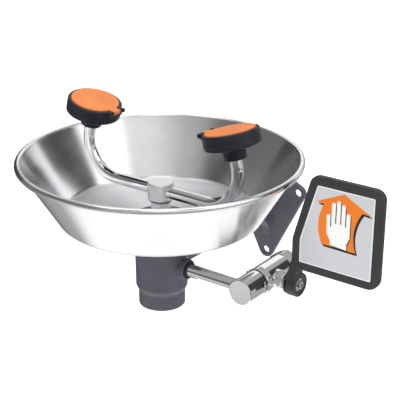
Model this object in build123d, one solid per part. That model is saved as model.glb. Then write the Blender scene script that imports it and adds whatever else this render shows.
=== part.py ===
from build123d import *
import math
import os

# Wall-mounted eye and face wash station: a steel bowl on a cast wall bracket, two spray heads on bent arms,
# and a quarter-turn ball valve worked by a push handle at its right side.
# Millimetres. +X is the user's right, +Y points into the wall, +Z is up.
# The origin is midway between the two upper wall bolts, on the wall's face.

# Bowl
BOWL_Y = -206.0
RIM_Z = 95.1
BEAD_OUTER_R = 146.0
BEAD_R = 3.3
SHEET = 1.2
BOWL_DEPTH = 66.5
BOTTOM_R = 102.9
BOTTOM_CORNER_R = 11.8
FLOOR_DISH = 3.8
SEAT_R = 38.0
BOWL_HOLE_R = 24.3
FLANGE_R = 33.6

# Waste body and bracket casting
BODY_TOP_R = 28.0
BODY_LOW_R = 27.4
OUTLET_R = 24.7
STEP_Z = -46.9
STEP_LOW_Z = -52.4
OUTLET_BOTTOM_Z = -69.1
BODY_BORE_R = 24.0
OUTLET_BORE_R = 19.3
OUTLET_BORE_LEN = 15.0
GASKET_THICK = 1.5
BOSS_R = 11.0
BOSS_END_X = 35.5
WEB_THICK = 11.0
ARM_TOP_Z = 18.6
ARM_WALL_Z = -28.4
ARM_LOW_Z = -35.9
ARM_FOOT_Z = -61.4
PLATE_THICK = 5.0
UPPER_BOLT_X = 42.0
LOWER_BOLT_Z = -82.6
BOLT_HOLE_R = 4.5
PLATE_CORNER_R = 9.6
LEG_INNER = 21.0
FORK_R = 8.0

# Water way
PIPE_Z = -22.4
PIPE_R = 6.85
PIPE_BORE_R = 5.4
ARM_R = 6.35
ARM_BORE_R = 5.2
HEADER_DROP = 37.2
ARM_BEND_R = 37.0
HEAD_TILT = 14.5
HEAD_X = 85.0
HEAD_TOP = 44.6
TEE_R = 13.6
TEE_TOP = 9.2
TEE_BOTTOM = 11.5
TEE_HEX_FLATS = 19.0

# Spray head, in its own frame: local +Z is the head's axis, local +X points at the hinge, z = 0 is the cover's top
COVER_R = 25.0
COVER_THICK = 2.6
RING_R = 28.4
RING_TOP = -1.6
SEAM_DROP = 9.5
DRUM_DROP = 16.0
NECK_R = 11.3
NECK_DROP = 30.0
HINGE_REACH = 29.4
HINGE_DROP = 2.6
HINGE_PIN_R = 1.25
EAR_INNER = 5.2
EAR_OUTER = 9.6
EAR_R = 2.4
RUNNING_GAP = 0.05

# Valve
VALVE_X = 107.5
VALVE_Y = -167.3
CAP_FACE_Y = -218.0
CAP_R = 13.35
JOINT_Y = -189.7
SEAL_THICK = 1.5
COLLAR_LEN = 8.2
COLLAR_FLATS = 27.0
VALVE_R = 14.0
REAR_HEX_Y = -144.0
INLET_END_Y = -130.0
REAR_HEX_FLATS = 27.5
INLET_R = 9.1
INLET_LEN = 12.5
CHAMBER_R = 11.35
BALL_R = 10.95
PORT_R = 6.5
STEM_R = 4.0
BONNET_R = 8.0
BONNET_END_X = 127.0
NUT_FLATS = 18.0
NUT_END_X = 130.6

# Push handle
HUB_START_X = 135.2
HUB_END_X = 146.8
HUB_R = 12.6
PANEL_FRONT_Y = -177.6
PANEL_THICK = 7.0
PANEL_LEFT_X = 140.6
PANEL_RIGHT_X = 236.6
PANEL_TOP_Z = 101.3
PANEL_BOTTOM_Z = -0.6
PANEL_SHOULDER_Z = 31.6
PANEL_TOP_LEFT_X = 160.1
PANEL_BORDER = 8.8
LABEL_RECESS = 1.3
LABEL_THICK = 1.0
STOP_START_X = 131.0
STOP_END_X = 133.4
STOP_R = 11.8
STOP_NOTCH_R = 8.6
STOP_LUG_ANGLE = 135.0
HANDLE_SWING = 90.0

HEADER_Z = RIM_Z - HEADER_DROP
FLOOR_Z = RIM_Z - BOWL_DEPTH
SEAT_Z = FLOOR_Z - FLOOR_DISH
BODY_TOP_Z = SEAT_Z - GASKET_THICK
BOWL_AXIS = Location((0, BOWL_Y, 0))


def turned(points, corner_radii=None):
    """A solid of revolution about Z from (radius, height) corners; corner_radii maps a corner's index to a radius."""
    face = make_face(Polyline(points, close=True))
    for index, radius in (corner_radii or {}).items():
        corner = face.vertices().sort_by_distance((*points[index], 0))[0]
        face = fillet(corner, radius)
    return revolve(Plane.XZ * face, Axis.Z)


def rod(start, axis, length, radius, bore=0.0):
    """A round bar, or a tube where bore is given, from start along a row axis."""
    plane = Plane(origin=start, z_dir=axis)
    solid = extrude(plane * Circle(radius), amount=length)
    if bore:
        solid -= extrude(plane * Circle(bore), amount=length)
    return solid


def hexagon(start, axis, length, flats):
    """A hexagonal bar that measures flats across its flat sides, its corner edges eased as on a turned nut."""
    plane = Plane(origin=start, z_dir=axis)
    bar = extrude(plane * RegularPolygon(flats / 2, 6, major_radius=False), amount=length)
    easing = extrude(plane * Circle(flats / 2 * 1.13), amount=length)
    rims = easing.edges().filter_by(GeomType.CIRCLE)
    return bar & chamfer(rims, flats * 0.05)


def offset_line(first, second, distance):
    """The line through two points moved to its left by distance, as a point and a direction."""
    along = (Vector(*second) - Vector(*first)).normalized()
    return Vector(*first) + Vector(-along.Y, along.X) * distance, along


def crossing(line_a, line_b):
    """Where two lines, each a point and a direction, cross."""
    (p, u), (q, v) = line_a, line_b
    step = ((q - p).X * v.Y - (q - p).Y * v.X) / (u.X * v.Y - u.Y * v.X)
    hit = p + u * step
    return (hit.X, hit.Y)


def bowl():
    """Spun bowl: a conical wall, a dished floor with a flat seat for the drain, and a rolled rim."""
    bead_r = BEAD_OUTER_R - BEAD_R
    bead_z = RIM_Z - BEAD_R + 0.3
    outside = [
        (bead_r - BEAD_R * 0.4, bead_z),
        (BOTTOM_R, FLOOR_Z),
        (SEAT_R, SEAT_Z),
        (BOWL_HOLE_R, SEAT_Z),
    ]
    lines = [offset_line(b, a, SHEET) for a, b in zip(outside, outside[1:])]
    lines.insert(0, (Vector(0, bead_z), Vector(1, 0)))
    inside = [crossing(a, b) for a, b in zip(lines, lines[1:])]
    inside.append((BOWL_HOLE_R, SEAT_Z + SHEET))
    points = outside + inside[::-1]
    radii = {1: BOTTOM_CORNER_R + SHEET, 6: BOTTOM_CORNER_R, 2: 4.0, 5: 4.0}
    shell = turned(points, radii)
    bead = Pos(0, 0, bead_z) * Torus(bead_r, BEAD_R)
    return BOWL_AXIS * (shell + bead)


def bowl_gasket():
    """Flat rubber ring between the bowl's seat and the waste body."""
    return rod((0, BOWL_Y, BODY_TOP_Z), (0, 0, 1), GASKET_THICK, BODY_TOP_R, BODY_BORE_R)


def drain_flange():
    """Flanged sleeve that clamps the bowl down on the waste body."""
    sleeve_r = BODY_BORE_R
    open_r = sleeve_r - 2.0
    top = SEAT_Z + SHEET
    points = [
        (open_r, top - 16.0),
        (sleeve_r, top - 16.0),
        (sleeve_r, top),
        (FLANGE_R, top),
        (FLANGE_R, top + 0.8),
        (FLANGE_R - 1.6, top + 2.0),
        (open_r, top + 2.0),
    ]
    return BOWL_AXIS * turned(points)


def wall_plate():
    """V-shaped plate with a bolt hole at the foot and one at the top of each leg."""
    foot = Vector(0, LOWER_BOLT_Z)
    bolts = [foot] + [Vector(side * UPPER_BOLT_X, 0) for side in (-1, 1)]
    outline = Sketch() + Pos(foot.X, foot.Y) * Circle(PLATE_CORNER_R)
    for side, bolt in zip((-1, 1), bolts[1:]):
        along = (bolt - foot).normalized()
        out = Vector(along.Y, -along.X) * side
        head = bolt + along * PLATE_CORNER_R
        fork = foot + Vector(0, LEG_INNER / abs(along.X))
        corners = [foot + out * PLATE_CORNER_R, head + out * PLATE_CORNER_R, head - out * LEG_INNER, fork, foot]
        leg = make_face(Polyline([(c.X, c.Y) for c in corners], close=True))
        for corner in corners[1:3]:
            leg = fillet(leg.vertices().sort_by_distance((corner.X, corner.Y, 0))[0], PLATE_CORNER_R - 0.2)
        outline += leg
    outline = fillet(outline.vertices().sort_by_distance((fork.X, fork.Y, 0))[0], FORK_R)
    for bolt in bolts:
        outline -= Pos(bolt.X, bolt.Y) * Circle(BOLT_HOLE_R)
    # Local X of this plane is row +X, local Y is row +Z, and it faces away from the wall.
    plate = extrude(Plane.XZ * outline, amount=PLATE_THICK)
    rim = plate.faces().sort_by(Axis.Y)[0].outer_wire().edges()
    return fillet(rim, 1.2)


def wall_arm():
    """Upright web from the waste body to the plate, with a flange along its upper edge."""
    wall_y = -PLATE_THICK + 1
    root_y = wall_y - 3.0
    upper = [(BOWL_Y + 20, ARM_TOP_Z), (BOWL_Y + 51, ARM_TOP_Z - 6), (wall_y, ARM_WALL_Z)]
    lower = [(wall_y, ARM_FOOT_Z), (root_y, ARM_FOOT_Z), (root_y, ARM_LOW_Z), (BOWL_Y + 20, ARM_LOW_Z)]
    side = make_face(Polyline(upper + lower, close=True))
    side = fillet(side.vertices().sort_by_distance((root_y, ARM_LOW_Z, 0))[0], 23.0)
    web = extrude(Plane.YZ * side, amount=WEB_THICK / 2, both=True)
    band = upper + [(y, z - 5.0) for y, z in reversed(upper)]
    flange = extrude(Plane.YZ * make_face(Polyline(band, close=True)), amount=11.0, both=True)
    keep = Pos(0, BOWL_Y / 2, 0) * Box(60, -BOWL_Y, 120)
    keep -= rod((0, BOWL_Y, -60), (0, 0, 1), 120, BODY_BORE_R + 1)
    return (web + flange) & keep


def wall_bracket():
    """The casting: waste body with its pipe boss and threaded outlet, the arm and the wall plate."""
    shell = [
        (0, BODY_TOP_Z),
        (BODY_TOP_R, BODY_TOP_Z),
        (BODY_LOW_R, STEP_Z),
        (OUTLET_R, STEP_LOW_Z),
        (OUTLET_R, OUTLET_BOTTOM_Z),
        (0, OUTLET_BOTTOM_Z),
    ]
    body = BOWL_AXIS * turned(shell, {2: 2.0, 3: 1.5, 4: 1.2})
    boss = rod((18, BOWL_Y, PIPE_Z), (1, 0, 0), BOSS_END_X - 18, BOSS_R)
    casting = body + boss + wall_plate() + wall_arm()
    shoulder_z = OUTLET_BOTTOM_Z + OUTLET_BORE_LEN
    cavity = [
        (0, BODY_TOP_Z),
        (BODY_BORE_R, BODY_TOP_Z),
        (BODY_BORE_R, shoulder_z + 4.5),
        (OUTLET_BORE_R, shoulder_z),
        (OUTLET_BORE_R, OUTLET_BOTTOM_Z),
        (0, OUTLET_BOTTOM_Z),
    ]
    casting -= BOWL_AXIS * turned(cavity)
    casting -= rod((15, BOWL_Y, PIPE_Z), (1, 0, 0), BOSS_END_X - 15, PIPE_R + 1.6)
    return casting


def pipe_seal():
    """Rubber grommet round the supply pipe where it passes through the boss."""
    sleeve = rod((22, BOWL_Y, PIPE_Z), (1, 0, 0), BOSS_END_X - 22, PIPE_R + 1.6, PIPE_R)
    lip = rod((BOSS_END_X, BOWL_Y, PIPE_Z), (1, 0, 0), 1.4, PIPE_R + 2.4, PIPE_R)
    return sleeve + lip


def supply_pipe():
    """Straight pipe from the valve's outlet elbow to the elbow under the bowl."""
    return rod((8, BOWL_Y, PIPE_Z), (1, 0, 0), VALVE_X - 7 - 8, PIPE_R, PIPE_BORE_R)


def riser_elbow():
    """Elbow inside the waste body that turns the supply up to the tee."""
    outer_r = PIPE_R + 2.7
    solid = rod((0, BOWL_Y, PIPE_Z), (1, 0, 0), 16, outer_r) + rod((0, BOWL_Y, PIPE_Z), (0, 0, 1), 16, outer_r)
    solid += Pos(0, BOWL_Y, PIPE_Z) * Sphere(outer_r)
    for axis in ((1, 0, 0), (0, 0, 1)):
        seat = Vector(0, BOWL_Y, PIPE_Z) + Vector(*axis) * 8
        solid -= rod(seat, axis, 10, PIPE_R)
        solid -= rod((0, BOWL_Y, PIPE_Z), axis, 10, PIPE_BORE_R)
    return solid - Pos(0, BOWL_Y, PIPE_Z) * Sphere(PIPE_BORE_R)


def riser_pipe():
    """Short pipe up the middle of the drain."""
    top = HEADER_Z - TEE_BOTTOM + 4
    return rod((0, BOWL_Y, PIPE_Z + 8), (0, 0, 1), top - PIPE_Z - 8, PIPE_R, PIPE_BORE_R)


def tee_nut():
    """Hexagonal coupling nut that holds the tee on the riser."""
    low = SEAT_Z + 4
    top = HEADER_Z - TEE_BOTTOM
    nut = hexagon((0, BOWL_Y, low), (0, 0, 1), top - low, TEE_HEX_FLATS)
    return nut - rod((0, BOWL_Y, low), (0, 0, 1), top - low, PIPE_R)


def centre_tee():
    """Tee with a flat cap, a spot face round each side port, and the riser's socket below."""
    low = HEADER_Z - TEE_BOTTOM
    top = HEADER_Z + TEE_TOP
    points = [(0, low), (TEE_R - 2.6, low), (TEE_R, low + 3.0), (TEE_R, top - 0.7), (TEE_R - 0.7, top), (0, top)]
    tee = BOWL_AXIS * turned(points)
    for side in (-1, 1):
        axis = (side, 0, 0)
        tee -= rod((side * (TEE_R - 1.4), BOWL_Y, HEADER_Z), axis, 5, ARM_R + 1.9)
        tee -= rod((side * 6, BOWL_Y, HEADER_Z), axis, 10, ARM_R)
    tee -= rod((-7, BOWL_Y, HEADER_Z), (1, 0, 0), 14, ARM_BORE_R)
    tee -= rod((0, BOWL_Y, low), (0, 0, 1), 4, PIPE_R)
    return tee - rod((0, BOWL_Y, low), (0, 0, 1), TEE_BOTTOM, ARM_BORE_R)


def head_frame(side):
    """Place of a spray head's own frame: side is -1 at the left and 1 at the right."""
    place = Location((side * HEAD_X, BOWL_Y, RIM_Z + HEAD_TOP))
    return place * Rotation(0, -side * HEAD_TILT, 0) * Rotation(0, 0, 180 if side > 0 else 0)


def arm_tube(side):
    """Bent tube from the tee, level and then up past upright, to the spray head's neck."""
    tilt = math.radians(HEAD_TILT)
    neck_x = HEAD_X + NECK_DROP * math.sin(tilt)
    neck_z = RIM_Z + HEAD_TOP - NECK_DROP * math.cos(tilt)
    bend_z = HEADER_Z + ARM_BEND_R
    bend_end_z = bend_z + ARM_BEND_R * math.sin(tilt)
    bend_x = neck_x + (neck_z - bend_end_z) * math.tan(tilt) - ARM_BEND_R * math.cos(tilt)
    start = Plane(origin=(6 * side, BOWL_Y, HEADER_Z), z_dir=(side, 0, 0))
    ring = Circle(ARM_R) - Circle(ARM_BORE_R)
    level = extrude(start * ring, amount=bend_x - 6)
    bend_start = Plane(origin=(bend_x * side, BOWL_Y, HEADER_Z), z_dir=(side, 0, 0))
    hinge = Axis((bend_x * side, BOWL_Y, bend_z), (0, -side, 0))
    bend = revolve(bend_start * ring, hinge, 90 + HEAD_TILT)
    end_x = bend_x + ARM_BEND_R * math.cos(tilt)
    rise = Plane(
        origin=(end_x * side, BOWL_Y, bend_end_z),
        z_dir=(-side * math.sin(tilt), 0, math.cos(tilt)),
    )
    into_neck = (neck_z - bend_end_z) / math.cos(tilt) + 9
    return level + bend + extrude(rise * ring, amount=into_neck)


def head_base(side):
    """Lower shell of the spray head, with the threaded neck that takes the arm."""
    points = [
        (0, -SEAM_DROP),
        (RING_R, -SEAM_DROP),
        (RING_R, -DRUM_DROP),
        (NECK_R + 0.6, -DRUM_DROP - 5.0),
        (NECK_R - 0.5, -NECK_DROP),
        (0, -NECK_DROP),
    ]
    shell = turned(points, {2: 2.2, 3: 1.6, 4: 1.4})
    hollow = [
        (0, -SEAM_DROP),
        (RING_R - 2.6, -SEAM_DROP),
        (RING_R - 2.6, -DRUM_DROP + 1.8),
        (PIPE_BORE_R + 1.6, -DRUM_DROP - 0.6),
        (PIPE_BORE_R + 1.6, -NECK_DROP + 10.5),
        (ARM_BORE_R, -NECK_DROP + 10.5),
        (ARM_BORE_R, -NECK_DROP + 9),
        (ARM_R, -NECK_DROP + 9),
        (ARM_R, -NECK_DROP),
        (0, -NECK_DROP),
    ]
    return head_frame(side) * (shell - turned(hollow))


def head_ring(side):
    """Upper ring of the spray head, with the two ears that carry the cover's hinge pin."""
    points = [
        (COVER_R + 0.35, RING_TOP),
        (RING_R, RING_TOP),
        (RING_R, -SEAM_DROP),
        (RING_R - 2.6, -SEAM_DROP),
        (RING_R - 2.6, -COVER_THICK - 2.0),
        (COVER_R - 1.4, -COVER_THICK - 2.0),
        (COVER_R - 1.4, -COVER_THICK - 0.1),
        (COVER_R + 0.35, -COVER_THICK - 0.1),
    ]
    ring = turned(points, {1: 1.5})
    slot = Pos(HINGE_REACH, 0, 0) * Box(14, EAR_INNER * 2, 2 * (HINGE_DROP + 3.0))
    ring -= slot
    for ear_side in (-1, 1):
        low_y = EAR_INNER if ear_side > 0 else -EAR_OUTER
        cheek = rod((HINGE_REACH, low_y, -HINGE_DROP), (0, 1, 0), EAR_OUTER - EAR_INNER, EAR_R)
        root = Pos(HINGE_REACH - 2.4, low_y + (EAR_OUTER - EAR_INNER) / 2, -HINGE_DROP - 2.4)
        ear = cheek + root * Box(6.0, EAR_OUTER - EAR_INNER, 5.2)
        ring += ear - rod((0, 0, -20), (0, 0, 1), 40, RING_R - 2.6)
    ring -= rod((HINGE_REACH, -EAR_OUTER, -HINGE_DROP), (0, 1, 0), 2 * EAR_OUTER, HINGE_PIN_R)
    return head_frame(side) * ring


def hinge_pin(side):
    """Pin with a round head at each end."""
    pin = rod((HINGE_REACH, -EAR_OUTER, -HINGE_DROP), (0, 1, 0), 2 * EAR_OUTER, HINGE_PIN_R)
    for end in (-1, 1):
        button = Pos(HINGE_REACH, end * (EAR_OUTER + 1.3), -HINGE_DROP) * Rotation(90, 0, 0)
        pin += button * fillet(Cylinder(2.5, 2.6).edges().filter_by(GeomType.CIRCLE), 1.1)
    return head_frame(side) * pin


def dust_cover(side):
    """Flip-up cover: a shallow disc with a hinge tab and knuckle."""
    rim_z = -0.5
    disc = turned([(0, 0), (COVER_R, rim_z), (COVER_R, -COVER_THICK), (0, -COVER_THICK)], {1: 0.7})
    knuckle_half = EAR_INNER - 0.35
    knuckle = rod((HINGE_REACH, -knuckle_half, -HINGE_DROP), (0, 1, 0), 2 * knuckle_half, EAR_R)
    tab_size = Vector(8.0, 2 * knuckle_half, COVER_THICK + rim_z)
    tab = Pos(HINGE_REACH - tab_size.X / 2, 0, rim_z - tab_size.Z / 2) * Box(*tab_size)
    flare = Circle(COVER_R) + Pos(HINGE_REACH - 5.0, 0) * Rectangle(10.0, tab_size.Y)
    roots = flare.vertices().sort_by(Axis.X)[-4:-2]
    flare = fillet(roots, 2.0) & Pos(COVER_R, 0) * Rectangle(8.0, tab_size.Y + 6.0)
    cover = disc + tab + extrude(Pos(0, 0, rim_z) * flare, amount=-1.0) + knuckle
    bore = rod((HINGE_REACH, -10, -HINGE_DROP), (0, 1, 0), 20, HINGE_PIN_R + RUNNING_GAP)
    return head_frame(side) * (cover - bore)


def spray_plate(side):
    """Perforated outlet plate under the cover."""
    top = -COVER_THICK - 2.0
    plate = rod((0, 0, top - 2.0), (0, 0, 1), 2.0, RING_R - 2.6)
    for count, ring_r in ((6, 5.5), (12, 11.0), (18, 16.5)):
        holes = [
            Pos(ring_r * math.cos(2 * math.pi * i / count), ring_r * math.sin(2 * math.pi * i / count), top - 1)
            * Cylinder(1.0, 4.0)
            for i in range(count)
        ]
        plate -= holes
    return head_frame(side) * plate


def head_filter(side):
    """Open foam disc that softens and strains the spray."""
    top = -COVER_THICK - 4.0
    return head_frame(side) * rod((0, 0, -DRUM_DROP + 1.8), (0, 0, 1), top + DRUM_DROP - 1.8, RING_R - 2.8)


def flow_regulator(side):
    """Small flow-regulating disc at the top of the neck."""
    seat = -NECK_DROP + 10.5
    return head_frame(side) * rod((0, 0, seat), (0, 0, 1), 2.2, PIPE_BORE_R + 1.6, 1.6)


def outlet_elbow():
    """Round end of the valve, closed by a flat cap face, with the supply pipe leaving its left side."""
    elbow = rod((VALVE_X, CAP_FACE_Y, PIPE_Z), (0, 1, 0), JOINT_Y - CAP_FACE_Y, CAP_R)
    elbow = chamfer(elbow.edges().sort_by(Axis.Y)[0], 0.7)
    elbow -= rod((VALVE_X, BOWL_Y - 6, PIPE_Z), (0, 1, 0), JOINT_Y - BOWL_Y + 6, PORT_R)
    elbow -= rod((VALVE_X - 7, BOWL_Y, PIPE_Z), (-1, 0, 0), 10, PIPE_R)
    return elbow - rod((VALVE_X, BOWL_Y, PIPE_Z), (-1, 0, 0), 10, PIPE_BORE_R)


def joint_seal():
    """Rubber washer between the outlet elbow and the valve body."""
    return rod((VALVE_X, JOINT_Y, PIPE_Z), (0, 1, 0), SEAL_THICK, CAP_R - 1.0, PORT_R)


def valve_body():
    """Ball valve body: hexagonal collar, round barrel with the ball's chamber, and the stem's bonnet."""
    front_y = JOINT_Y + SEAL_THICK
    barrel_y = front_y + COLLAR_LEN
    body = hexagon((VALVE_X, front_y, PIPE_Z), (0, 1, 0), COLLAR_LEN, COLLAR_FLATS)
    body += rod((VALVE_X, barrel_y, PIPE_Z), (0, 1, 0), REAR_HEX_Y - barrel_y, VALVE_R)
    body += rod((VALVE_X, VALVE_Y, PIPE_Z), (1, 0, 0), 121.6 - VALVE_X, 9.4)
    body += rod((VALVE_X, VALVE_Y, PIPE_Z), (1, 0, 0), BONNET_END_X - VALVE_X, BONNET_R)
    body -= rod((VALVE_X, front_y, PIPE_Z), (0, 1, 0), VALVE_Y - 12.5 - front_y, PORT_R)
    body -= rod((VALVE_X, VALVE_Y - 12.5, PIPE_Z), (0, 1, 0), REAR_HEX_Y - VALVE_Y + 12.5, CHAMBER_R)
    body -= rod((VALVE_X, VALVE_Y, PIPE_Z), (1, 0, 0), 40, STEM_R + RUNNING_GAP)
    return body - rod((119.5, VALVE_Y, PIPE_Z), (1, 0, 0), 20, 6.3)


def inlet_end():
    """Threaded rear end of the valve: hexagon outside, female pipe thread inside."""
    nose = rod((VALVE_X, VALVE_Y + 12.5, PIPE_Z), (0, 1, 0), REAR_HEX_Y - VALVE_Y - 12.5, CHAMBER_R)
    end = nose + hexagon((VALVE_X, REAR_HEX_Y, PIPE_Z), (0, 1, 0), INLET_END_Y - REAR_HEX_Y, REAR_HEX_FLATS)
    end -= rod((VALVE_X, VALVE_Y, PIPE_Z), (0, 1, 0), INLET_END_Y - VALVE_Y, PORT_R)
    return end - rod((VALVE_X, INLET_END_Y, PIPE_Z), (0, -1, 0), INLET_LEN, INLET_R)


def ball_seat(side):
    """Seat ring against the ball: side is -1 in front of it and 1 behind."""
    ring = rod((VALVE_X, VALVE_Y + side * 12.5, PIPE_Z), (0, -side, 0), 5.3, CHAMBER_R, PORT_R)
    return ring - Pos(VALVE_X, VALVE_Y, PIPE_Z) * Sphere(BALL_R + RUNNING_GAP)


def valve_ball():
    """Ball with its port, closed in the rest position, and the slot for the stem."""
    ball = Pos(VALVE_X, VALVE_Y, PIPE_Z) * Sphere(BALL_R)
    ball -= rod((VALVE_X, VALVE_Y, PIPE_Z - 20), (0, 0, 1), 40, PORT_R - 0.5)
    return ball - Pos(VALVE_X + BALL_R - 1.5, VALVE_Y, PIPE_Z) * Box(3.4, 3.0, 30)


def valve_stem():
    """Stem from the ball's slot to the handle's hub, with a flat each side at the hub."""
    tang_start = VALVE_X + BALL_R - 3.2
    neck_start = VALVE_X + BALL_R + 0.3
    tang = Pos((tang_start + neck_start) / 2, VALVE_Y, PIPE_Z) * Box(neck_start - tang_start, 3.0, 7.0)
    stem = tang + rod((neck_start, VALVE_Y, PIPE_Z), (1, 0, 0), HUB_END_X - 4.6 - neck_start, STEM_R)
    for side in (-1, 1):
        stem -= Pos(HUB_START_X + 10, VALVE_Y + side * 5.0, PIPE_Z) * Box(20, 4.0, 10)
    return stem - rod((HUB_END_X - 4.6, VALVE_Y, PIPE_Z), (-1, 0, 0), 7, 1.6)


def stem_packing():
    """Packing ring round the stem."""
    return rod((119.5, VALVE_Y, PIPE_Z), (1, 0, 0), 5.5, 6.3, STEM_R + RUNNING_GAP)


def packing_nut():
    """Hexagonal nut over the bonnet, with a nose that presses on the packing."""
    nut = hexagon((121.6, VALVE_Y, PIPE_Z), (1, 0, 0), NUT_END_X - 121.6, NUT_FLATS)
    nut -= rod((121.6, VALVE_Y, PIPE_Z), (1, 0, 0), BONNET_END_X - 121.6, BONNET_R)
    nut += rod((125.0, VALVE_Y, PIPE_Z), (1, 0, 0), BONNET_END_X - 125.0, 6.3)
    return nut - rod((121, VALVE_Y, PIPE_Z), (1, 0, 0), 20, STEM_R + 0.3)


def sector(start_x, length, outer_r, first, last):
    """A pie slice about the stem's axis between two angles, in degrees from +Y towards +Z."""
    reach = outer_r * 1.6
    middle = (first + last) / 2
    angles = [math.radians(a) for a in (first, middle, last)]
    points = [(0, 0)] + [(reach * math.cos(a), reach * math.sin(a)) for a in angles]
    # The plane's local X is row +Y and its local Y is row +Z.
    plane = Plane(origin=(start_x, VALVE_Y, PIPE_Z), x_dir=(0, 1, 0), z_dir=(1, 0, 0))
    return extrude(plane * make_face(Polyline(points, close=True)), amount=length)


def stop_plate():
    """Fixed plate on the packing nut, with the arc that limits the handle to a quarter turn."""
    length = STOP_END_X - STOP_START_X
    plate = rod((STOP_START_X, VALVE_Y, PIPE_Z), (1, 0, 0), length, STOP_R, STEM_R + 0.3)
    spare = 10.5
    arc = sector(STOP_START_X, length, STOP_R, STOP_LUG_ANGLE - HANDLE_SWING - spare, STOP_LUG_ANGLE + spare)
    return plate - (arc - rod((STOP_START_X, VALVE_Y, PIPE_Z), (1, 0, 0), length, STOP_NOTCH_R))


def panel_outline(inset, top_left_radius, low_right_radius):
    """Outline of the handle's panel in row X and Z, moved inwards by inset."""
    slope = math.atan2(PANEL_TOP_LEFT_X - PANEL_LEFT_X, PANEL_TOP_Z - PANEL_SHOULDER_Z)
    top_left_x = PANEL_TOP_LEFT_X + inset / math.cos(slope) - inset * math.tan(slope)
    shoulder_z = PANEL_SHOULDER_Z + inset * math.tan(slope / 2)
    points = [
        (PANEL_LEFT_X + inset, PANEL_BOTTOM_Z + inset),
        (PANEL_RIGHT_X - inset, PANEL_BOTTOM_Z + inset),
        (PANEL_RIGHT_X - inset, PANEL_TOP_Z - inset),
        (top_left_x, PANEL_TOP_Z - inset),
        (PANEL_LEFT_X + inset, shoulder_z),
    ]
    face = make_face(Polyline(points, close=True))
    radii = {0: 1.2, 1: low_right_radius, 2: top_left_radius, 3: top_left_radius, 4: 6.0}
    for index, radius in radii.items():
        corner = face.vertices().sort_by_distance((*points[index], 0))[0]
        face = fillet(corner, radius)
    return face


def push_handle():
    """Panel with a raised border round the label's recess, running down into the hub on the stem."""
    back = Plane(origin=(0, PANEL_FRONT_Y + PANEL_THICK, 0), x_dir=(1, 0, 0), z_dir=(0, -1, 0))
    front = Plane(origin=(0, PANEL_FRONT_Y, 0), x_dir=(1, 0, 0), z_dir=(0, -1, 0))
    panel = extrude(back * panel_outline(0, 10.5, 13.0), amount=PANEL_THICK)
    faces = panel.faces().sort_by(Axis.Y)
    panel = fillet(faces[0].edges() + faces[-1].edges(), 1.6)
    panel -= extrude(front * panel_outline(PANEL_BORDER, 1.6, 1.6), amount=-LABEL_RECESS)
    hub = rod((HUB_START_X, VALVE_Y, PIPE_Z), (1, 0, 0), HUB_END_X - HUB_START_X, HUB_R)
    hub = fillet(hub.edges().filter_by(GeomType.CIRCLE), 1.2)
    web_depth = VALVE_Y + 4.0 - PANEL_FRONT_Y
    web_points = [
        (HUB_START_X + 0.6, PIPE_Z),
        (HUB_END_X - 0.6, PIPE_Z),
        (HUB_END_X - 0.6, PANEL_BOTTOM_Z - 5.0),
        (HUB_END_X + 6.0, PANEL_BOTTOM_Z + 2.0),
        (PANEL_LEFT_X + 0.8, PANEL_BOTTOM_Z + 10.0),
        (HUB_START_X + 0.6, PIPE_Z + HUB_R),
    ]
    web = extrude(front * make_face(Polyline(web_points, close=True)), amount=-web_depth)
    handle = panel + hub + web
    lug_angle = math.radians(STOP_LUG_ANGLE)
    lug_centre = (STOP_NOTCH_R + STOP_R) / 2 + 0.1
    lug = Pos(
        (STOP_START_X + 0.4 + HUB_START_X + 1) / 2,
        VALVE_Y + lug_centre * math.cos(lug_angle),
        PIPE_Z + lug_centre * math.sin(lug_angle),
    ) * Rotation(STOP_LUG_ANGLE, 0, 0) * Box(HUB_START_X + 1 - STOP_START_X - 0.4, 2.6, 3.0)
    handle += lug
    stem_hole = rod((HUB_START_X, VALVE_Y, PIPE_Z), (1, 0, 0), HUB_END_X - 4.6 - HUB_START_X, STEM_R)
    for side in (-1, 1):
        stem_hole -= Pos(HUB_START_X + 10, VALVE_Y + side * 5.0, PIPE_Z) * Box(20, 4.0, 10)
    handle -= stem_hole
    handle -= rod((HUB_END_X - 4.6, VALVE_Y, PIPE_Z), (1, 0, 0), 10, 2.1)
    handle -= rod((HUB_END_X - 1.0, VALVE_Y, PIPE_Z), (1, 0, 0), 10, 9.6)
    return handle - rod((HUB_END_X - 3.2, VALVE_Y, PIPE_Z), (1, 0, 0), 10, 7.2)


def label_plate():
    """Thin sign plate in the handle's recess."""
    front = Plane(origin=(0, PANEL_FRONT_Y + LABEL_RECESS, 0), x_dir=(1, 0, 0), z_dir=(0, -1, 0))
    return extrude(front * panel_outline(PANEL_BORDER + 0.15, 1.5, 1.5), amount=LABEL_THICK)


def hub_washer():
    """Washer in the hub's counterbore."""
    return rod((HUB_END_X - 3.2, VALVE_Y, PIPE_Z), (1, 0, 0), 1.2, 7.0, 2.1)


def hub_screw():
    """Socket-head screw that holds the handle on the stem."""
    head = rod((HUB_END_X - 2.0, VALVE_Y, PIPE_Z), (1, 0, 0), 3.0, 4.2)
    head = fillet(head.edges().sort_by(Axis.X)[-1], 0.8)
    shank = rod((HUB_END_X - 11.0, VALVE_Y, PIPE_Z), (1, 0, 0), 9.0, 1.6)
    socket = hexagon((HUB_END_X - 0.8, VALVE_Y, PIPE_Z), (1, 0, 0), 3.0, 3.6)
    return head + shank - socket


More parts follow.
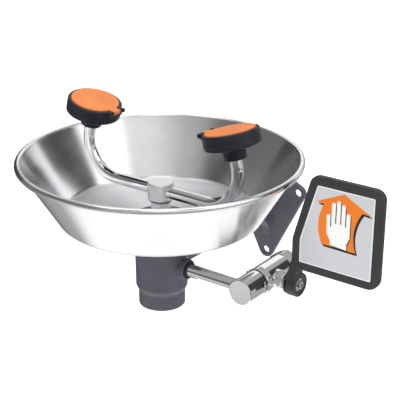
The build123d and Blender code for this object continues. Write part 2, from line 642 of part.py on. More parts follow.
def parts():
    """Every node's name and solid."""
    made = {
        "wall_bracket": wall_bracket(),
        "bowl": bowl(),
        "bowl_gasket": bowl_gasket(),
        "drain_flange": drain_flange(),
        "pipe_seal": pipe_seal(),
        "supply_pipe": supply_pipe(),
        "riser_elbow": riser_elbow(),
        "riser_pipe": riser_pipe(),
        "tee_nut": tee_nut(),
        "centre_tee": centre_tee(),
        "outlet_elbow": outlet_elbow(),
        "joint_seal": joint_seal(),
        "valve_body": valve_body(),
        "inlet_end": inlet_end(),
        "seat_front": ball_seat(-1),
        "seat_rear": ball_seat(1),
        "valve_ball": valve_ball(),
        "valve_stem": valve_stem(),
        "stem_packing": stem_packing(),
        "packing_nut": packing_nut(),
        "stop_plate": stop_plate(),
        "push_handle": push_handle(),
        "label_plate": label_plate(),
        "hub_washer": hub_washer(),
        "hub_screw": hub_screw(),
    }
    for name, side in (("left", -1), ("right", 1)):
        made[f"arm_tube_{name}"] = arm_tube(side)
        made[f"head_base_{name}"] = head_base(side)
        made[f"head_ring_{name}"] = head_ring(side)
        made[f"head_filter_{name}"] = head_filter(side)
        made[f"spray_plate_{name}"] = spray_plate(side)
        made[f"flow_regulator_{name}"] = flow_regulator(side)
        made[f"hinge_pin_{name}"] = hinge_pin(side)
        made[f"dust_cover_{name}"] = dust_cover(side)
    return made


os.makedirs("parts", exist_ok=True)
for node, shape in parts().items():
    export_step(shape, f"parts/{node}.step")
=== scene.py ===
import math

import bmesh
import bpy
from mathutils import Matrix, Vector


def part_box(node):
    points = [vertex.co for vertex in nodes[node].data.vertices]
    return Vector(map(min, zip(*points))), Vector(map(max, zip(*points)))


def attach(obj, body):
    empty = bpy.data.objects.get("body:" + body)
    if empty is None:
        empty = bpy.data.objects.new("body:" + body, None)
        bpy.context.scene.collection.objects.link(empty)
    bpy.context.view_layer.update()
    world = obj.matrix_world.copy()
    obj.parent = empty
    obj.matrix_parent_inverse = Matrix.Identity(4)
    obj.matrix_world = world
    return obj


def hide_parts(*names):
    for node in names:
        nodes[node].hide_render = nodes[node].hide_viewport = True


# Wall-mounted eye and face wash station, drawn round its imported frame. All is in metres; +X is the user's
# right, +Y points into the wall and +Z is up. MM turns sizes written in millimetres to metres.
MM = 0.001
FINE = 192
COARSE = 96

# Bowl
SHEET = 1.2 * MM
BEAD_R = 3.3 * MM
BEAD_RISE = 0.3 * MM
BOTTOM_R = 102.9 * MM
BOWL_DEPTH = 66.5 * MM
BOTTOM_CORNER_R = 11.8 * MM
FLOOR_DISH = 3.8 * MM
SEAT_R = 38.0 * MM
BOWL_HOLE_R = 24.3 * MM

# Bent arms and spray heads
ARM_R = 6.35 * MM
ARM_BORE_R = 5.2 * MM
ARM_BEND_R = 37.0 * MM
HEAD_TILT = math.radians(14.5)
HEAD_X = 85.0 * MM
HEAD_TOP = 44.6 * MM
NECK_DROP = 30.0 * MM

# Valve
PIPE_R = 6.85 * MM
PIPE_BORE_R = 5.4 * MM

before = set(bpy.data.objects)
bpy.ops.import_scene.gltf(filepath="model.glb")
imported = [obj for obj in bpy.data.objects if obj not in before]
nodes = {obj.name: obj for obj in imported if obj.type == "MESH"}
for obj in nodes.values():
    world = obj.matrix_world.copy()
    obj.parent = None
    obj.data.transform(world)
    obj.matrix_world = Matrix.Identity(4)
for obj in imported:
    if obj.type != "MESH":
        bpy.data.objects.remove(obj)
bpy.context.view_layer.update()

bowl_low, bowl_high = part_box("bowl")
BOWL_AXIS = (bowl_low + bowl_high) / 2
BEAD_OUTER_R = (bowl_high.x - bowl_low.x) / 2
RIM_Z = bowl_high.z - BEAD_RISE
FLOOR_Z = RIM_Z - BOWL_DEPTH
SEAT_Z = FLOOR_Z - FLOOR_DISH
HEADER_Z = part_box("arm_tube_left")[0].z + ARM_R


# ---------------------------------------------------------------- outlines and meshes


def rounded(corners, closed=True, steps=6):
    """An outline from (x, y, radius) corners, each radius above 0 drawn as an arc of that size."""
    outline = []
    count = len(corners)
    for index, (x, y, radius) in enumerate(corners):
        here = Vector((x, y))
        if radius <= 0 or (not closed and index in (0, count - 1)):
            outline.append(here)
            continue
        before = (Vector(corners[index - 1][:2]) - here).normalized()
        after = (Vector(corners[(index + 1) % count][:2]) - here).normalized()
        half = before.angle(after) / 2
        centre = here + (before + after).normalized() * radius / math.sin(half)
        start = here + before * radius / math.tan(half) - centre
        end = here + after * radius / math.tan(half) - centre
        sweep = math.atan2(start.cross(end), start.dot(end))
        for step in range(steps + 1):
            outline.append(centre + Matrix.Rotation(sweep * step / steps, 2) @ start)
    return outline


def arc(centre, radius, first, last, steps):
    """Points of a circle from one angle to another, in degrees."""
    angles = [math.radians(first + (last - first) * step / steps) for step in range(steps + 1)]
    return [Vector((centre[0] + radius * math.cos(a), centre[1] + radius * math.sin(a))) for a in angles]


def finish_mesh(name, bm, material, sharp=35.0):
    """A new object from a bmesh, smooth except at edges sharper than the angle given."""
    bmesh.ops.recalc_face_normals(bm, faces=bm.faces)
    mesh = bpy.data.meshes.new(name)
    bm.to_mesh(mesh)
    bm.free()
    obj = bpy.data.objects.new(name, mesh)
    bpy.context.scene.collection.objects.link(obj)
    dress(obj, material, sharp)
    return obj


def dress(obj, material, sharp):
    """Gives an object its material and its smooth shading."""
    obj.data.materials.clear()
    obj.data.materials.append(material)
    obj.data.shade_smooth()
    obj.data.set_sharp_from_angle(angle=math.radians(sharp))
    normals = obj.modifiers.new("Weighted normals", "WEIGHTED_NORMAL")
    normals.keep_sharp = True


def lathe(name, outline, origin, axis, material, segments=COARSE):
    """Revolves a closed outline of (radius, height) points about an axis."""
    bm = bmesh.new()
    verts = [bm.verts.new((p[0], 0, p[1])) for p in outline]
    edges = [bm.edges.new(pair) for pair in zip(verts, verts[1:])]
    edges.append(bm.edges.new((verts[-1], verts[0])))
    bmesh.ops.spin(
        bm,
        geom=verts + edges,
        cent=(0, 0, 0),
        axis=(0, 0, 1),
        angle=2 * math.pi,
        steps=segments,
        use_merge=True,
    )
    bmesh.ops.remove_doubles(bm, verts=bm.verts, dist=1e-7)
    bmesh.ops.dissolve_degenerate(bm, edges=bm.edges, dist=1e-7)
    obj = finish_mesh(name, bm, material)
    obj.matrix_world = Matrix.Translation(origin) @ Vector(axis).to_track_quat("Z", "Y").to_matrix().to_4x4()
    return obj


def tube(name, path, radius, bore, material):
    """A tube along a path that lies in a plane of constant Y, with both its ends closed to the bore."""
    bm = bmesh.new()
    rings = []
    for size in (radius, bore):
        for index, point in enumerate(path):
            ahead = path[min(index + 1, len(path) - 1)]
            behind = path[max(index - 1, 0)]
            along = (ahead - behind).normalized()
            across = along.cross(Vector((0, 1, 0)))
            ring = []
            for step in range(COARSE):
                turn = 2 * math.pi * step / COARSE
                offset = across * math.cos(turn) + Vector((0, 1, 0)) * math.sin(turn)
                ring.append(bm.verts.new(point + offset * size))
            rings.append(ring)
    outer = rings[: len(path)]
    inner = rings[len(path):]
    loops = outer + inner[::-1] + [outer[0]]
    for first, second in zip(loops, loops[1:]):
        for step in range(COARSE):
            following = (step + 1) % COARSE
            bm.faces.new((first[step], first[following], second[following], second[step]))
    return finish_mesh(name, bm, material)


def plate(name, outline, frame_of_face, low, high, material):
    """A flat outline drawn out from one height to another along a face's local Z."""
    bm = bmesh.new()
    face = bm.faces.new([bm.verts.new((p[0], p[1], low)) for p in outline])
    grown = bmesh.ops.extrude_face_region(bm, geom=[face])
    top = [item for item in grown["geom"] if isinstance(item, bmesh.types.BMVert)]
    bmesh.ops.translate(bm, verts=top, vec=(0, 0, high - low))
    obj = finish_mesh(name, bm, material)
    obj.matrix_world = frame_of_face
    return obj


def soft_copy(name, node, material, voxel, rounds):
    """A copy of a CAD node with its edges softened like a casting's or a moulding's."""
    obj = bpy.data.objects.new(name, nodes[node].data.copy())
    bpy.context.scene.collection.objects.link(obj)
    remesh = obj.modifiers.new("Remesh", "REMESH")
    remesh.mode = "VOXEL"
    remesh.voxel_size = voxel
    remesh.adaptivity = 0.0
    smooth = obj.modifiers.new("Smooth", "SMOOTH")
    smooth.factor = 0.5
    smooth.iterations = rounds
    bake(obj)
    dress(obj, material, 180.0)
    return obj


def eased_copy(name, node, material, width):
    """A copy of a CAD node with a narrow bevel along its sharp edges, as on turned and milled metal."""
    sharp = 25.0
    obj = bpy.data.objects.new(name, nodes[node].data.copy())
    bpy.context.scene.collection.objects.link(obj)
    bm = bmesh.new()
    bm.from_mesh(obj.data)
    bmesh.ops.remove_doubles(bm, verts=bm.verts, dist=1e-6)
    bmesh.ops.dissolve_limit(
        bm, angle_limit=math.radians(0.5), use_dissolve_boundaries=False, verts=bm.verts, edges=bm.edges
    )
    bm.to_mesh(obj.data)
    bm.free()
    bevel = obj.modifiers.new("Bevel", "BEVEL")
    bevel.width = width
    bevel.segments = 2
    bevel.limit_method = "ANGLE"
    bevel.angle_limit = math.radians(sharp)
    bevel.use_clamp_overlap = True
    bake(obj)
    dress(obj, material, sharp)
    return obj


def bake(obj):
    """Replaces an object's mesh with the result of its modifiers."""
    evaluated = obj.evaluated_get(bpy.context.evaluated_depsgraph_get())
    mesh = bpy.data.meshes.new_from_object(evaluated)
    obj.modifiers.clear()
    obj.data = mesh


def place(obj, body, slot, *replaced):
    """Attaches a piece to its body and hides the CAD nodes that it stands for. The finish that it is given is
    not used.
    """
    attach(obj, body)
    if replaced:
        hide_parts(*replaced)
    return obj


# ---------------------------------------------------------------- materials


def principled(name, colour, roughness, metallic=0.0, **settings):
    """A new material and its shader, with the even values set on the shader's own sockets."""
    material = bpy.data.materials.new(name)
    material.use_nodes = True
    shader = material.node_tree.nodes["Principled BSDF"]
    shader.inputs["Base Color"].default_value = (*colour, 1.0)
    shader.inputs["Roughness"].default_value = roughness
    shader.inputs["Metallic"].default_value = metallic
    for key, value in settings.items():
        shader.inputs[key.replace("_", " ").title().replace("Ior", "IOR")].default_value = value
    return material, shader


def add(shader, kind, inputs, output=0, **settings):
    """Adds a node to the shader's tree, sets or links its inputs, and returns one of its outputs."""
    tree = shader.id_data
    made = tree.nodes.new("ShaderNode" + kind)
    for key, value in settings.items():
        setattr(made, key, value)
    for key, value in inputs.items():
        if isinstance(value, bpy.types.NodeSocket):
            tree.links.new(value, made.inputs[key])
        else:
            made.inputs[key].default_value = value
    return made.outputs[output]


def link(shader, output, socket):
    """Joins a node's output to one of the shader's sockets."""
    shader.id_data.links.new(output, shader.inputs[socket])


def spot(shader):
    """The surface point in the object's own coordinates."""
    return add(shader, "TexCoord", {}, output="Object")


def noise(shader, vector, scale, detail=3.0, roughness=0.5):
    """Fractal noise at a scale given in features per metre."""
    inputs = {"Vector": vector, "Scale": scale, "Detail": detail, "Roughness": roughness}
    return add(shader, "TexNoise", inputs)


def spread(shader, value, low, high):
    """Maps a noise value round its middle to a range."""
    return ranged(shader, value, 0.3, 0.7, low, high)


def ranged(shader, value, low_in, high_in, low=0.0, high=1.0):
    """Maps a value from one range to another and holds it there."""
    inputs = {"Value": value, "From Min": low_in, "From Max": high_in, "To Min": low, "To Max": high}
    return add(shader, "MapRange", inputs)


def blend(shader, factor, first, second):
    """Blends from one colour, or colour socket, to another."""
    ends = [c if isinstance(c, bpy.types.NodeSocket) else (*c, 1.0) for c in (first, second)]
    return add(shader, "Mix", {"Factor": factor, 6: ends[0], 7: ends[1]}, output=2, data_type="RGBA")


def tint(shader, value, dark, light):
    """Blends between two colours by a noise value."""
    return blend(shader, spread(shader, value, 0.0, 1.0), dark, light)


def bump(shader, height, strength, distance):
    """Adds a bump from a height value."""
    normal = add(shader, "Bump", {"Height": height, "Strength": strength, "Distance": distance})
    link(shader, normal, "Normal")


def brushing(shader, around, across):
    """Noise stretched along circles about the object's own Z axis, as fine lines left by turning."""
    point = spot(shader)
    split = add(shader, "SeparateXYZ", {0: point}).node
    flat = add(shader, "VectorMath", {0: point, 1: (1.0, 1.0, 0.0)}, operation="MULTIPLY")
    radius = add(shader, "VectorMath", {0: flat}, output="Value", operation="LENGTH")
    outward = add(shader, "VectorMath", {0: flat}, operation="NORMALIZE")
    bearing = add(shader, "VectorMath", {0: outward, "Scale": around}, operation="SCALE")
    ring = add(shader, "Math", {0: radius, 1: across}, operation="MULTIPLY")
    rise = add(shader, "Math", {0: split.outputs["Z"], 1: across}, operation="MULTIPLY")
    lift = add(shader, "CombineXYZ", {"Z": ring})
    place_in_noise = add(shader, "VectorMath", {0: bearing, 1: lift}, operation="ADD")
    return add(
        shader,
        "TexNoise",
        {"Vector": place_in_noise, "W": rise, "Scale": 1.0, "Detail": 4.0, "Roughness": 0.6},
        noise_dimensions="4D",
    )


def spun_steel():
    """Bowl: satin stainless with fine circular lines, faint handling marks and a blasted floor."""
    material, shader = principled(
        "Spun steel", (0.80, 0.81, 0.82), 0.2, 1.0, anisotropic=0.8, anisotropic_rotation=0.25
    )
    lines = brushing(shader, 1.2, 2600.0)
    marks = noise(shader, spot(shader), 24.0, 5.0, 0.6)
    worn = add(shader, "Math", {0: lines, 1: marks}, operation="ADD")
    half = add(shader, "Math", {0: worn, 1: 0.5}, operation="MULTIPLY")
    polish = spread(shader, half, 0.17, 0.27)
    height = add(shader, "SeparateXYZ", {0: spot(shader)}, output="Z")
    foot = FLOOR_Z - BOWL_AXIS.z
    blasted = 0.62
    link(shader, ranged(shader, height, foot + 2 * MM, foot + 5 * MM, blasted, polish), "Roughness")
    link(shader, tint(shader, marks, (0.80, 0.81, 0.83), (0.88, 0.885, 0.89)), "Base Color")
    link(shader, add(shader, "Tangent", {}, direction_type="RADIAL", axis="Z"), "Tangent")
    bump(shader, lines, 0.12, 0.00003)
    return material


def turned_steel(name, colour, roughness):
    """Turned or drawn metal with fine rings about its own axis."""
    material, shader = principled(name, colour, roughness, 1.0, anisotropic=0.4)
    lines = brushing(shader, 0.8, 4200.0)
    link(shader, spread(shader, lines, roughness * 0.75, roughness * 1.3), "Roughness")
    link(shader, tint(shader, lines, [c * 0.94 for c in colour], colour), "Base Color")
    link(shader, add(shader, "Tangent", {}, direction_type="RADIAL", axis="Z"), "Tangent")
    bump(shader, lines, 0.15, 0.00002)
    return material


def chrome():
    """Polished plating with faint smudges and a trace of the polishing."""
    material, shader = principled("Chrome", (0.86, 0.87, 0.88), 0.06, 1.0)
    smudge = noise(shader, spot(shader), 70.0, 5.0, 0.62)
    link(shader, spread(shader, smudge, 0.045, 0.10), "Roughness")
    link(shader, tint(shader, smudge, (0.83, 0.84, 0.85), (0.88, 0.885, 0.89)), "Base Color")
    bump(shader, noise(shader, spot(shader), 420.0, 2.0), 0.03, 0.00005)
    return material


def satin_cast(name, colour, roughness):
    """Cast metal under a satin plating: soft and slightly uneven."""
    material, shader = principled(name, colour, roughness, 1.0)
    grain = noise(shader, spot(shader), 2600.0, 3.0)
    patch = noise(shader, spot(shader), 130.0, 3.0)
    link(shader, spread(shader, patch, roughness * 0.85, roughness * 1.2), "Roughness")
    link(shader, tint(shader, patch, [c * 0.93 for c in colour], colour), "Base Color")
    bump(shader, grain, 0.12, 0.00006)
    return material


def powder_coat():
    """Textured slate powder coat, a little lighter where edges wear."""
    material, shader = principled("Slate powder coat", (0.085, 0.088, 0.108), 0.42, specular_ior_level=0.5)
    peel = noise(shader, spot(shader), 1300.0, 2.0, 0.5)
    speck = noise(shader, spot(shader), 3800.0, 2.0)
    patch = noise(shader, spot(shader), 45.0, 4.0)
    body = tint(shader, patch, (0.078, 0.081, 0.100), (0.094, 0.097, 0.120))
    edge = add(shader, "NewGeometry", {}, output="Pointiness")
    wear = ranged(shader, edge, 0.53, 0.62, 0.0, 0.35)
    link(shader, blend(shader, wear, body, (0.20, 0.205, 0.23)), "Base Color")
    link(shader, spread(shader, speck, 0.36, 0.52), "Roughness")
    bump(shader, peel, 0.35, 0.00012)
    return material


def moulded(name, colour, roughness, grain=2200.0, depth=0.25):
    """Moulded plastic with a fine spark-eroded grain and slight unevenness of tone."""
    material, shader = principled(name, colour, roughness, specular_ior_level=0.45)
    texture = noise(shader, spot(shader), grain, 3.0, 0.55)
    patch = noise(shader, spot(shader), 38.0, 4.0)
    link(shader, tint(shader, patch, [c * 0.88 for c in colour], [c * 1.08 for c in colour]), "Base Color")
    link(shader, spread(shader, texture, roughness * 0.85, roughness * 1.2), "Roughness")
    bump(shader, texture, depth, 0.00006)
    return material


def rubber():
    """Black moulded rubber."""
    return moulded("Black rubber", (0.018, 0.018, 0.020), 0.62, 1500.0, 0.3)


def open_foam():
    """Reticulated filter foam: lighter strands, with painted shade in the open cells between them."""
    material, shader = principled("Filter foam", (0.10, 0.105, 0.11), 0.9)
    cells = add(
        shader,
        "TexVoronoi",
        {"Vector": spot(shader), "Scale": 900.0},
        output="Distance",
        feature="DISTANCE_TO_EDGE",
    )
    cell_shade = ranged(shader, cells, 0.05, 0.2)
    # The near-black colour in the cells is painted shade, standing for the depth of the open foam.
    link(shader, blend(shader, cell_shade, (0.20, 0.21, 0.22), (0.015, 0.015, 0.016)), "Base Color")
    bump(shader, cells, 0.8, 0.0008)
    return material


def printed(name, colour, roughness=0.45):
    """Printed film on the sign: satin, with a faint fleck in the ink."""
    material, shader = principled(name, colour, roughness, specular_ior_level=0.25)
    fleck = noise(shader, spot(shader), 5200.0, 2.0)
    film = noise(shader, spot(shader), 60.0, 3.0)
    link(shader, tint(shader, fleck, [c * 0.96 for c in colour], colour), "Base Color")
    link(shader, spread(shader, film, roughness * 0.85, roughness * 1.15), "Roughness")
    bump(shader, fleck, 0.05, 0.00002)
    return material


# ---------------------------------------------------------------- bowl and drain


def bowl_piece(material):
    """Spun bowl: conical wall, dished floor with a flat seat for the drain, and a rolled rim."""
    bead = Vector((BEAD_OUTER_R - BEAD_R, RIM_Z - BEAD_R + BEAD_RISE))
    wall_top = Vector((bead.x - BEAD_R * 0.4, bead.y))
    wall_foot = Vector((BOTTOM_R, FLOOR_Z))
    lean = (wall_top - wall_foot).normalized()
    inward = Vector((-lean.y, lean.x)) * SHEET
    lift = Vector((0, SHEET))
    half_wall = 57.5 * MM
    corner_in = wall_foot + lift + Vector((-inward.length * (1 - lean.x) / lean.y, 0))
    outside = [
        (BOWL_HOLE_R, SEAT_Z, 0),
        (SEAT_R, SEAT_Z, 4 * MM),
        (*wall_foot, BOTTOM_CORNER_R + SHEET),
        (*(wall_foot + lean * (half_wall - 2.5 * MM)), 0),
    ]
    inside = [
        (*(wall_foot + lean * (half_wall + 2.5 * MM) + inward), 0),
        (*corner_in, BOTTOM_CORNER_R),
        (SEAT_R, SEAT_Z + SHEET, 4 * MM),
        (BOWL_HOLE_R, SEAT_Z + SHEET, 0),
    ]
    outline = rounded(outside, closed=False, steps=14)
    outline += arc(bead, BEAD_R, -118, 172, 40)
    outline += rounded(inside, closed=False, steps=14)
    local = [(p.x, p.y - BOWL_AXIS.z) for p in outline]
    piece = lathe("bowl_spun", local, BOWL_AXIS, (0, 0, 1), material, segments=FINE)
    return place(piece, "station", "bowl_steel", "bowl")


def drain_flange_piece(material):
    """Flanged drain sleeve with eased edges."""
    low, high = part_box("drain_flange")
    outer = (high.x - low.x) / 2
    sleeve = 24.0 * MM
    bore = 22.0 * MM
    top = high.z - SEAT_Z - SHEET
    seat = SEAT_Z + SHEET
    outline = rounded(
        [
            (bore, low.z - seat, 0.3 * MM),
            (sleeve, low.z - seat, 0.3 * MM),
            (sleeve, 0, 0),
            (outer, 0, 0.2 * MM),
            (outer, 0.8 * MM, 0.3 * MM),
            (outer - 1.6 * MM, top, 0.6 * MM),
            (bore, top, 0.6 * MM),
        ]
    )
    origin = Vector((BOWL_AXIS.x, BOWL_AXIS.y, seat))
    piece = lathe("drain_flange_turned", outline, origin, (0, 0, 1), material)
    return place(piece, "station", "slate_coat", "drain_flange")


# ---------------------------------------------------------------- arms, tee and pipe


def arm_piece(side, name, material):
    """Bent tube from the tee, level and then up past upright, to the spray head's neck."""
    head = Vector((HEAD_X, RIM_Z + HEAD_TOP))
    neck = head + Vector((math.sin(HEAD_TILT), -math.cos(HEAD_TILT))) * NECK_DROP
    bend_z = HEADER_Z + ARM_BEND_R
    rise_z = bend_z + ARM_BEND_R * math.sin(HEAD_TILT)
    bend_x = neck.x + (neck.y - rise_z) * math.tan(HEAD_TILT) - ARM_BEND_R * math.cos(HEAD_TILT)
    turn = math.pi / 2 + HEAD_TILT
    steps = 40
    line = [Vector((6 * MM, HEADER_Z)), Vector((bend_x, HEADER_Z))]
    for step in range(1, steps + 1):
        angle = turn * step / steps
        line.append(Vector((bend_x + ARM_BEND_R * math.sin(angle), bend_z - ARM_BEND_R * math.cos(angle))))
    upward = Vector((-math.sin(HEAD_TILT), math.cos(HEAD_TILT)))
    line.append(line[-1] + upward * ((neck.y - rise_z) / math.cos(HEAD_TILT) + 8 * MM))
    path = [Vector((side * p.x, BOWL_AXIS.y, p.y)) for p in line]
    piece = tube(f"arm_{name}", path, ARM_R, ARM_BORE_R, material)
    return place(piece, "station", "chrome_tube", f"arm_tube_{name}")


def pipe_piece(name, node, axis, material, slot):
    """A straight pipe as long as its CAD node is along an axis."""
    low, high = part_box(node)
    length = (high - low).dot(Vector(axis))
    centre = (low + high) / 2
    ends = rounded(
        [
            (PIPE_BORE_R, -length / 2, 0.2 * MM),
            (PIPE_R, -length / 2, 0.3 * MM),
            (PIPE_R, length / 2, 0.3 * MM),
            (PIPE_BORE_R, length / 2, 0.2 * MM),
        ],
        steps=3,
    )
    piece = lathe(name, ends, centre, axis, material)
    return place(piece, "station", slot, node)


# ---------------------------------------------------------------- sign on the handle


def label_pieces():
    """The sign's printed layers: a pale border, an arrow with a dark drop edge, and an open hand."""
    low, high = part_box("label_plate")
    ink = 0.06 * MM
    front = Matrix(((1, 0, 0, low.x), (0, 0, -1, low.y), (0, 1, 0, low.z), (0, 0, 0, 1)))
    border(printed("Label border", (0.86, 0.87, 0.88)), low.y, ink)
    drop = 2.1 * MM
    dark = printed("Label black", (0.025, 0.025, 0.028))
    orange = printed("Label orange", (0.86, 0.205, 0.010))
    white = printed("Label white", (0.90, 0.90, 0.89))
    arrow = arrow_outline()
    hand = hand_outline()
    layers = (
        ("label_arrow_edge", arrow, drop, dark),
        ("label_arrow", arrow, 0, orange),
        ("label_hand_edge", hand, drop * 0.45, dark),
        ("label_hand", hand, 0, white),
    )
    for level, (name, outline, shift, material) in enumerate(layers):
        moved = [(x + shift, y - shift) for x, y in outline]
        piece = plate(name, moved, front, level * ink, (level + 1) * ink, material)
        place(piece, "handle", "label_grey")


def border(material, face_y, ink):
    """Thin band round the edge of the sign, taken from the outline of the sign plate."""
    width = 1.1 * MM
    bm = bmesh.new()
    bm.from_mesh(nodes["label_plate"].data)
    bmesh.ops.remove_doubles(bm, verts=bm.verts, dist=1e-6)
    spare = [f for f in bm.faces if f.normal.y > -0.9]
    bmesh.ops.delete(bm, geom=spare, context="FACES")
    merged = bmesh.ops.dissolve_faces(bm, faces=bm.faces, use_verts=True)["region"]
    bmesh.ops.inset_region(bm, faces=merged, thickness=width, use_even_offset=True, use_boundary=True)
    bmesh.ops.delete(bm, geom=merged, context="FACES")
    band = bmesh.ops.extrude_face_region(bm, geom=list(bm.faces))
    raised = [item for item in band["geom"] if isinstance(item, bmesh.types.BMVert)]
    bmesh.ops.translate(bm, verts=raised, vec=(0, face_y - ink - raised[0].co.y, 0))
    place(finish_mesh("label_border", bm, material), "handle", "label_grey")


def arrow_outline():
    """Upright arrow with a bowed shaft, from the sign's lower left corner."""
    apex = (46.0, 81.2)
    tips = ((17.0, 68.0), (74.8, 66.1))
    necks = ((25.4, 67.0), (65.6, 66.8))
    feet = ((24.0, 25.7), (60.8, 25.0))
    bow = -5.2
    steps = 14
    points = [apex, tips[0]]
    for start, end in ((necks[0], feet[0]), (feet[1], necks[1])):
        for step in range(steps + 1):
            along = step / steps
            x = start[0] + (end[0] - start[0]) * along + bow * 4 * along * (1 - along)
            points.append((x, start[1] + (end[1] - start[1]) * along))
    points.append(tips[1])
    return [(x * MM, y * MM) for x, y in points]


def hand_outline():
    """Open hand, palm forward: a rounded palm with four fingers and a short thumb held beside them."""
    digits = (
        (30.5, 42.0, 57.9),
        (35.8, 49.3, 70.9),
        (41.1, 50.8, 73.5),
        (46.4, 49.8, 70.5),
        (51.7, 48.3, 63.1),
    )
    half = 2.05
    steps = 8
    points = [(33.4, 26.9), (33.0, 31.8), (29.2, 37.3)]
    for index, (x, root, tip) in enumerate(digits):
        for step in range(steps + 1):
            angle = math.pi - math.pi * step / steps
            points.append((x + half * math.cos(angle), tip - half + half * math.sin(angle)))
        if index < len(digits) - 1:
            following = digits[index + 1]
            valley = (root + following[1]) / 2
            points += [(x + half, valley), (following[0] - half, valley)]
    points += [(53.8, 38.3), (50.8, 31.3), (51.0, 25.5)]
    return [(x * MM, y * MM) for x, y in points]


# ---------------------------------------------------------------- stage


def camera():
    """Camera at the front left of the right-hand side, a little above the rim, framed on the station."""
    place_azimuth = math.radians(38.90)
    place_elevation = math.radians(19.41)
    distance = 1.0566
    look_azimuth = math.radians(36.59)
    look_elevation = math.radians(21.86)
    rim_centre = Vector((BOWL_AXIS.x, BOWL_AXIS.y, RIM_Z))
    data = bpy.data.cameras.new("Camera")
    data.lens = 94.2
    data.sensor_width = 36.0
    obj = bpy.data.objects.new("Camera", data)
    bpy.context.scene.collection.objects.link(obj)
    obj.location = rim_centre + heading(place_azimuth, place_elevation) * distance
    obj.rotation_euler = heading(look_azimuth, look_elevation).to_track_quat("Z", "Y").to_euler()
    bpy.context.scene.camera = obj


def key_light():
    """Broad lamp high at the front left, kept out of the metal's reflections."""
    data = bpy.data.lights.new("Key", "AREA")
    data.shape = "DISK"
    data.size = 1.6
    data.energy = 18.0
    obj = bpy.data.objects.new("Key", data)
    bpy.context.scene.collection.objects.link(obj)
    toward = heading(math.radians(-10), math.radians(68))
    obj.location = BOWL_AXIS + toward * 1.8
    obj.rotation_euler = toward.to_track_quat("Z", "Y").to_euler()
    obj.visible_glossy = False


def heading(azimuth, elevation):
    """Unit vector towards a viewer at an azimuth, counted from the front to the right, and an elevation."""
    level = math.cos(elevation)
    return Vector((math.sin(azimuth) * level, -math.cos(azimuth) * level, math.sin(elevation)))


def floor():
    """Plain pale floor, at the depth below the station that it has when mounted."""
    depth = -0.95
    half = 12.0
    bm = bmesh.new()
    bm.faces.new([bm.verts.new((x * half, y * half, depth)) for x, y in ((-1, -1), (1, -1), (1, 1), (-1, 1))])
    material, shader = principled("Pale floor", (0.92, 0.92, 0.92), 0.8)
    shader.inputs["Emission Color"].default_value = (1.0, 1.0, 1.0, 1.0)
    shader.inputs["Emission Strength"].default_value = 0.75
    grain = noise(shader, spot(shader), 3.0, 2.0)
    link(shader, tint(shader, grain, (0.91, 0.91, 0.91), (0.93, 0.93, 0.93)), "Base Color")
    obj = finish_mesh("floor", bm, material)
    obj.visible_glossy = False


# Panels of the studio round the object: azimuth in degrees from the wall's side (0) to the user's right (90),
# elevation, half width, half height, softness of the edge, and brightness. Later panels cover earlier ones.
STUDIO = (
    ("front fill", 100, 45, 45, 40, 80, 0.95),
    ("left wall", -128, 20, 42, 28, 24, 0.15),
    ("low front left panel", -141, -20, 14, 8, 6, 0.75),
    ("back left panel", -36, 27, 26, 15, 8, 1.05),
    ("low left flag", -68, 0, 22, 26, 8, 0.05),
    ("right softbox", 80, 42, 24, 26, 6, 1.45),
    ("back right flag", 38, 18, 22, 17, 5, 0.05),
    ("back strip", 6, 16, 9, 9, 4, 1.0),
    ("low front right flag", 130, -8, 30, 9, 8, 0.12),
    ("ceiling", 0, 90, 180, 28, 12, 1.8),
    ("upper right gap", 95, 68, 24, 11, 6, 0.06),
    ("upper back gap", -172, 72, 18, 11, 6, 0.06),
    ("floor far left", -70, -24, 40, 10, 16, 0.2),
    ("floor back", -22, -30, 12, 12, 6, 1.3),
    ("floor", 0, -90, 180, 40, 12, 1.25),
)
STUDIO_BASE = 0.42


def studio():
    """World light: soft panels and dark flags for the metal to reflect, and plain white behind the object."""
    world = bpy.data.worlds.new("Studio")
    bpy.context.scene.world = world
    world.use_nodes = True
    background = world.node_tree.nodes["Background"]
    background.inputs["Color"].default_value = (1.0, 1.0, 1.0, 1.0)
    point = add(background, "TexCoord", {}, output="Generated")
    split = add(background, "SeparateXYZ", {0: point}).node
    turn = add(background, "Math", {0: split.outputs["X"], 1: split.outputs["Y"]}, operation="ARCTAN2")
    azimuth = add(background, "Math", {0: turn, 1: math.degrees(1)}, operation="MULTIPLY")
    rise = add(background, "Math", {0: split.outputs["Z"]}, operation="ARCSINE")
    elevation = add(background, "Math", {0: rise, 1: math.degrees(1)}, operation="MULTIPLY")
    level = STUDIO_BASE
    for _, centre, height, half_width, half_height, softness, brightness in STUDIO:
        away = add(background, "Math", {0: azimuth, 1: centre}, operation="SUBTRACT")
        wrapped = add(background, "Math", {0: away, 1: 180.0, 2: -180.0}, operation="WRAP")
        across = edge_mask(background, wrapped, half_width, softness)
        above = add(background, "Math", {0: elevation, 1: height}, operation="SUBTRACT")
        upright = edge_mask(background, above, half_height, softness)
        mask = add(background, "Math", {0: across, 1: upright}, operation="MULTIPLY")
        level = ranged(background, mask, 0.0, 1.0, level, brightness)
    rays = add(background, "LightPath", {}, output="Is Camera Ray")
    link(background, ranged(background, rays, 0.0, 1.0, level, 1.0), "Strength")


def edge_mask(shader, offset, half, softness):
    """One inside a panel's half size and nothing outside it, with a soft edge."""
    distance = add(shader, "Math", {0: offset}, operation="ABSOLUTE")
    return add(
        shader,
        "MapRange",
        {
            "Value": distance,
            "From Min": half - softness / 2,
            "From Max": half + softness / 2,
            "To Min": 1.0,
            "To Max": 0.0,
        },
        interpolation_type="SMOOTHSTEP",
    )


# ---------------------------------------------------------------- putting it together

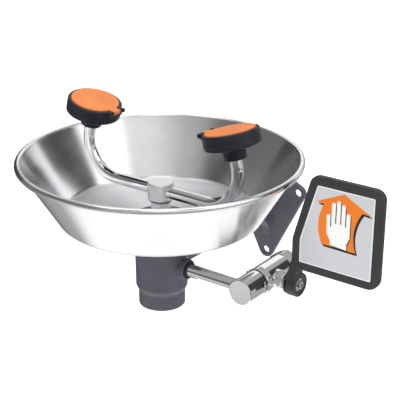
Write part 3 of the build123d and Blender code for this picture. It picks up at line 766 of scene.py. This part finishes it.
STEEL = spun_steel()
CHROME = chrome()
TEE = satin_cast("Satin tee", (0.78, 0.78, 0.78), 0.3)
BRASS = turned_steel("Brass", (0.72, 0.55, 0.28), 0.3)
SLATE = powder_coat()
HEAD = moulded("Head slate", (0.012, 0.014, 0.023), 0.42)
ORANGE = moulded("Cover orange", (0.80, 0.235, 0.055), 0.5, 1800.0, 0.12)
GREY = moulded("Spray grey", (0.50, 0.51, 0.52), 0.5)
BLACK = moulded("Pin black", (0.008, 0.008, 0.013), 0.4)
CHARCOAL = moulded("Handle charcoal", (0.036, 0.036, 0.039), 0.5, 1500.0, 0.4)
WHITE = moulded("Seal white", (0.82, 0.82, 0.80), 0.5)
RUBBER = rubber()
FOAM = open_foam()
LABEL = printed("Label grey", (0.60, 0.61, 0.63))
SCREW = turned_steel("Bright screw", (0.66, 0.67, 0.68), 0.22)

bowl_piece(STEEL)
# The drain flange is drawn in the dark slate coat, which makes a dark band round the drain.
drain_flange_piece(SLATE)
for side, end in ((-1, "left"), (1, "right")):
    arm_piece(side, end, CHROME)
pipe_piece("supply_pipe_drawn", "supply_pipe", (1, 0, 0), CHROME, "chrome_tube")
pipe_piece("riser_pipe_drawn", "riser_pipe", (0, 0, 1), BRASS, "valve_inner")

# Cast and moulded pieces: new name, CAD node, material, voxel in mm, rounds of smoothing, body and finish.
SOFTENED = [
    ("wall_bracket_cast", "wall_bracket", SLATE, 0.8, 3, "station", "slate_coat"),
    ("tee_cast", "centre_tee", TEE, 0.3, 3, "station", "tee_satin"),
    ("handle_moulded", "push_handle", CHARCOAL, 0.5, 3, "handle", "handle_charcoal"),
]
for end in ("left", "right"):
    SOFTENED += [
        (f"head_base_moulded_{end}", f"head_base_{end}", HEAD, 0.45, 2, "station", "head_slate"),
        (f"head_ring_moulded_{end}", f"head_ring_{end}", HEAD, 0.3, 2, "station", "head_slate"),
        (f"dust_cover_moulded_{end}", f"dust_cover_{end}", ORANGE, 0.3, 2, f"cover_{end}", "cover_orange"),
    ]
for name, node, material, voxel, rounds, body, slot in SOFTENED:
    place(soft_copy(name, node, material, voxel * MM, rounds), body, slot, node)

# Milled and turned pieces: CAD node, material, bevel in mm, body and finish.
MILLED = (
    ("tee_nut", TEE, 0.3, "station", "tee_satin"),
    ("outlet_elbow", CHROME, 0.25, "station", "valve_chrome"),
    ("valve_body", CHROME, 0.35, "station", "valve_chrome"),
    ("inlet_end", CHROME, 0.35, "station", "valve_chrome"),
    ("packing_nut", CHROME, 0.35, "station", "valve_chrome"),
    ("stop_plate", SCREW, 0.2, "station", "screw_steel"),
    ("hub_washer", SCREW, 0.15, "handle", "screw_steel"),
    ("hub_screw", SCREW, 0.15, "handle", "screw_steel"),
)
for node, material, width, body, slot in MILLED:
    place(eased_copy(f"{node}_milled", node, material, width * MM), body, slot, node)
label_pieces()

# CAD nodes that stay as they are, and their materials.
KEPT = {
    "bowl_gasket": RUBBER,
    "pipe_seal": RUBBER,
    "joint_seal": RUBBER,
    "riser_elbow": BRASS,
    "seat_front": WHITE,
    "seat_rear": WHITE,
    "stem_packing": WHITE,
    "valve_ball": CHROME,
    "valve_stem": SCREW,
    "label_plate": LABEL,
}
for end in ("left", "right"):
    KEPT[f"head_filter_{end}"] = FOAM
    KEPT[f"spray_plate_{end}"] = GREY
    KEPT[f"flow_regulator_{end}"] = WHITE
    KEPT[f"hinge_pin_{end}"] = BLACK
for node, material in KEPT.items():
    nodes[node].data.materials.clear()
    nodes[node].data.materials.append(material)

camera()
key_light()
floor()
studio()
bpy.context.scene.view_settings.view_transform = "Standard"
